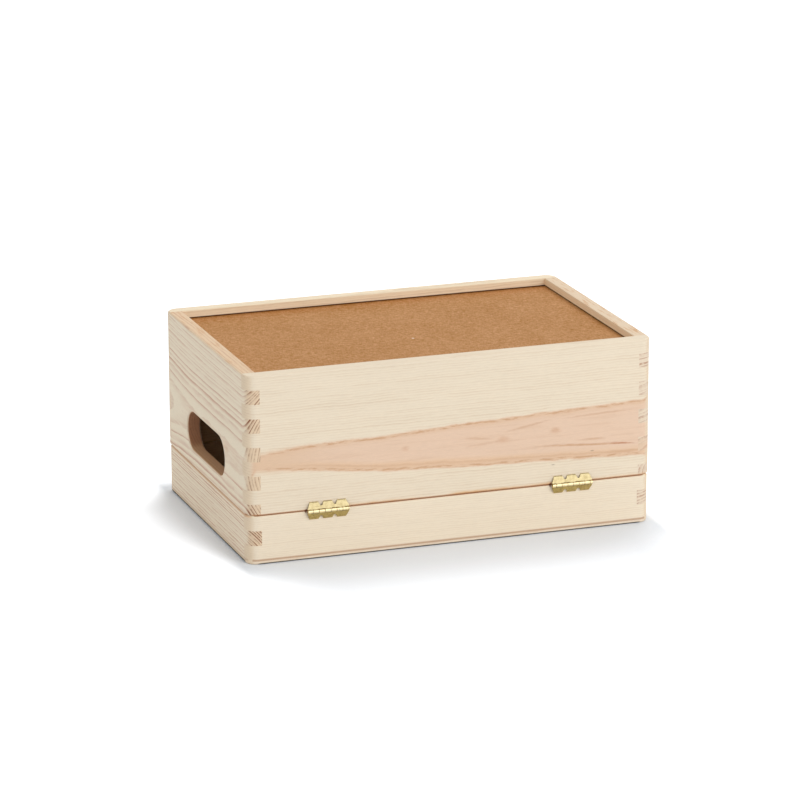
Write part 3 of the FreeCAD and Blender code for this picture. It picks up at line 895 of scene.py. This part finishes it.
# Bright and dull shade of each kind of piece, by the ending of its name. The lid's leaves are darker
# and more olive than the box's, as painted shade of the lower leaf, which faces down
BRASS_SHADES = {
    "box_leaf": ((190, 175, 134), (166, 150, 110)),
    "lid_leaf": ((194, 170, 108), (162, 136, 80)),
    "pin": ((196, 176, 120), (166, 142, 88)),
}
BRASS_FINISH = Finish(roughness=(0.38, 0.58), relief=0.15, relief_depth=0.05, metallic=1.0)
TARNISH_FINENESS = 0.5
TARNISH_FADE = (0.4, 0.75)
SCUFF_FINENESS = (0.6, 4.0, 4.0)

KNUCKLE_HIGHLIGHT = (246, 230, 184)             # painted highlight on the knuckles' outer side
SHINE_FADE = (1.6, 1.35)                    # by the distance from the pin's axis
SHINE_SIDE = (-100.0, -100.5)               # in Y

KNUCKLE_GAP_SHADE = (112, 82, 44)                 # painted shade in the gaps at the knuckles' ends
GAP_FADE = (0.5, 0.15)                      # by the distance from a gap
GAP_ROUND = (1.8, 1.5)                      # by the distance from the pin's axis
GAP_SHARE = 0.5


def brass(name, bright, dull):
    """Brass-plated steel with tarnish and faint scuffs, a painted highlight on the knuckles and
    painted shade at their ends.
    """
    material, tree, shader = new_material(name)
    x, y, z = place_in_mm(tree)
    place = tree.vector(x, y, z)
    tarnish = tree.noise(detail=4.0, roughness=0.6, vector=place, scale=TARNISH_FINENESS)
    scuff_place = tree.stretched((x, y, z), SCUFF_FINENESS)
    scuffs = tree.noise(detail=3.0, roughness=0.6, vector=scuff_place)
    colour = tree.mix(tree.steps(tarnish, *TARNISH_FADE), linear(bright), linear(dull))
    from_axis = tree.length(tree.subtract(y, PIN_AXIS[0]), tree.subtract(z, PIN_AXIS[1]))
    knuckle_highlight = tree.multiply(tree.steps(from_axis, *SHINE_FADE), tree.steps(y, *SHINE_SIDE))
    colour = tree.paint(knuckle_highlight, colour, KNUCKLE_HIGHLIGHT)
    knuckles_along = tree.multiply(tree.subtract(x, HINGE_ENDS[0]), 1 / KNUCKLE_LENGTH)
    from_gap = tree.multiply(tree.math("PINGPONG", knuckles_along, 0.5), KNUCKLE_LENGTH)
    gap = tree.multiply(tree.steps(from_gap, *GAP_FADE), tree.steps(from_axis, *GAP_ROUND),
                        GAP_SHARE)
    colour = tree.paint(gap, colour, KNUCKLE_GAP_SHADE)
    apply_finish(tree, shader, BRASS_FINISH, colour, scuffs, scuffs)
    return material


# ---------------------------------------------------------------------------------------------
# Floor, light and world


WHITE = (1.0, 1.0, 1.0, 1.0)
FLOOR_HALF = 6.0                            # in metres
FLOOR_SHADE = (241, 246, 252)
FLOOR_LIFT = 0.50                           # added where open floor is seen, so that it is white

# How far beyond a side of the box the floor turns white. Where there are two numbers, the second
# holds by the middle of that side, within its window, because the shadow is widest there.
LIFT_FRONT = (35.0, 150.0)
LIFT_LEFT = (8.0, 42.0)
LIFT_BACK = 22.0
LIFT_RIGHT = 12.0
LEFT_START = 2.0                            # the lift begins this far beyond the left end
FRONT_WINDOW = ((-165.0, -95.0), (175.0, 115.0))        # in X
LEFT_WINDOW = ((-130.0, 25.0), (105.0, 45.0))           # in Y

SURROUND = 0.66                             # how strongly the white surround lights the object

# Name, place, aim, side and power of each lamp, in metres and watts
LAMPS = [
    ("key", (0.8, -2.0, 1.1), (0.0, 0.0, 0.07), 1.2, 14.2),
    ("back_right", (0.7, 0.9, 1.5), (0.0, 0.0, 0.05), 1.0, 6.5),
]


def camera_like(tree):
    """1 on rays that show the background: from the camera, in a mirror or through glass."""
    path = tree.node("ShaderNodeLightPath")
    return tree.greatest(*[path.outputs[kind] for kind in (
        "Is Camera Ray", "Is Glossy Ray", "Is Transmission Ray")])


def open_floor(tree):
    """0 under and close by the box, and 1 where the floor is clear of its shadow."""
    x, y, _ = place_in_mm(tree)
    front_reach = tree.spread(tree.window(x, *FRONT_WINDOW), *LIFT_FRONT)
    left_reach = tree.spread(tree.window(y, *LEFT_WINDOW), *LIFT_LEFT)
    past_front = tree.subtract(tree.multiply(y, -1.0), BOX_HALF[1])
    past_back = tree.subtract(y, BOX_HALF[1])
    past_left = tree.subtract(tree.multiply(x, -1.0), BOX_HALF[0] + LEFT_START)
    past_right = tree.subtract(x, BOX_HALF[0])
    beside = tree.greatest(tree.math("DIVIDE", past_front, front_reach),
                           tree.multiply(past_back, 1 / LIFT_BACK), 0.0)
    past_end = tree.greatest(tree.math("DIVIDE", past_left, left_reach),
                             tree.multiply(past_right, 1 / LIFT_RIGHT), 0.0)
    return tree.steps(tree.length(past_end, beside), 0.0, 1.0)


def make_floor():
    """A plain pale floor. Away from the box it is lifted to white where it is seen."""
    mesh = bpy.data.meshes.new("floor")
    corners = [(-FLOOR_HALF, -FLOOR_HALF, 0), (FLOOR_HALF, -FLOOR_HALF, 0),
               (FLOOR_HALF, FLOOR_HALF, 0), (-FLOOR_HALF, FLOOR_HALF, 0)]
    mesh.from_pydata(corners, [], [(0, 1, 2, 3)])
    floor = bpy.data.objects.new("floor", mesh)
    bpy.context.scene.collection.objects.link(floor)
    material, tree, shader = new_material("floor_paper")
    shader.inputs["Base Color"].default_value = linear(FLOOR_SHADE)
    shader.inputs["Roughness"].default_value = 1.0
    shader.inputs["Specular IOR Level"].default_value = 0.0
    shader.inputs["Emission Color"].default_value = WHITE
    tree.feed(shader.inputs["Emission Strength"],
              tree.multiply(camera_like(tree), open_floor(tree), FLOOR_LIFT))
    mesh.materials.append(material)


def make_world():
    """An even white surround that lights the object more gently than the camera sees it."""
    world = bpy.data.worlds.new("studio")
    world.use_nodes = True
    bpy.context.scene.world = world
    tree = Tree(world.node_tree)
    background = world.node_tree.nodes["Background"]
    background.inputs["Color"].default_value = WHITE
    tree.feed(background.inputs["Strength"], tree.spread(camera_like(tree), SURROUND, 1.0))


def make_lamp(name, place, aim, side, power):
    """A soft square lamp aimed at a point."""
    data = bpy.data.lights.new(name, "AREA")
    data.shape = "SQUARE"
    data.size = side
    data.energy = power
    lamp = bpy.data.objects.new(name, data)
    bpy.context.scene.collection.objects.link(lamp)
    lamp.location = place
    lamp.rotation_mode = "QUATERNION"
    lamp.rotation_quaternion = (Vector(aim) - Vector(place)).to_track_quat("-Z", "Y")


# ---------------------------------------------------------------------------------------------
# The scene


def dress(node, material):
    """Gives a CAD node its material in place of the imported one."""
    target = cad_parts[node]
    if not target.material_slots:
        target.data.materials.append(material)
    for material_slot in target.material_slots:
        material_slot.material = material


bpy.context.scene.view_settings.view_transform = "Standard"
make_camera()
make_world()
for lamp in LAMPS:
    make_lamp(*lamp)
make_floor()
for node, timber in TIMBERS.items():
    dress(node, pine(node + "_pine", timber))
dress("bottom_panel", hardboard("bottom_hardboard"))
for ending, shades in BRASS_SHADES.items():
    material = brass(ending + "_brass", *shades)
    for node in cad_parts:
        if node.endswith(ending):
            dress(node, material)
